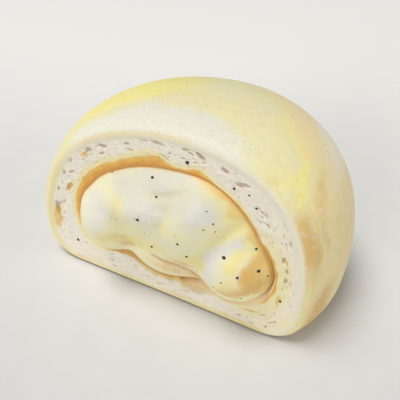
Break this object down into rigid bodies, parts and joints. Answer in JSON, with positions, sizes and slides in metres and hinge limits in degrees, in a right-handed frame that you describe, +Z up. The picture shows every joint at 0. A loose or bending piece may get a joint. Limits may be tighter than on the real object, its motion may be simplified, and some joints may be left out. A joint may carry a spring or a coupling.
{
  "type": "custard-filled bread roll, cut open",
  "caption": "Soft round bread roll cut open off its middle, with a thick custard filling dotted with vanilla that bulges from its pocket; rests flat on its base.",
  "frame": {"origin": "middle of the bounding box, on the surface that the base rests on", "axes": "+Z up; the cut face looks towards -Y and the rounded back towards +Y; +X runs to the right along the cut face, seen from the front"},
  "size_m": [0.0962, 0.0666, 0.061],
  "materials": {
    "bun": "matte soft bread, pale yellow skin and cream crumb",
    "custard": "smooth, moist, softly glossy custard"
  },
  "bodies": {
    "root": {"bun": "bun", "custard": "custard"}
  },
  "joints": []
}
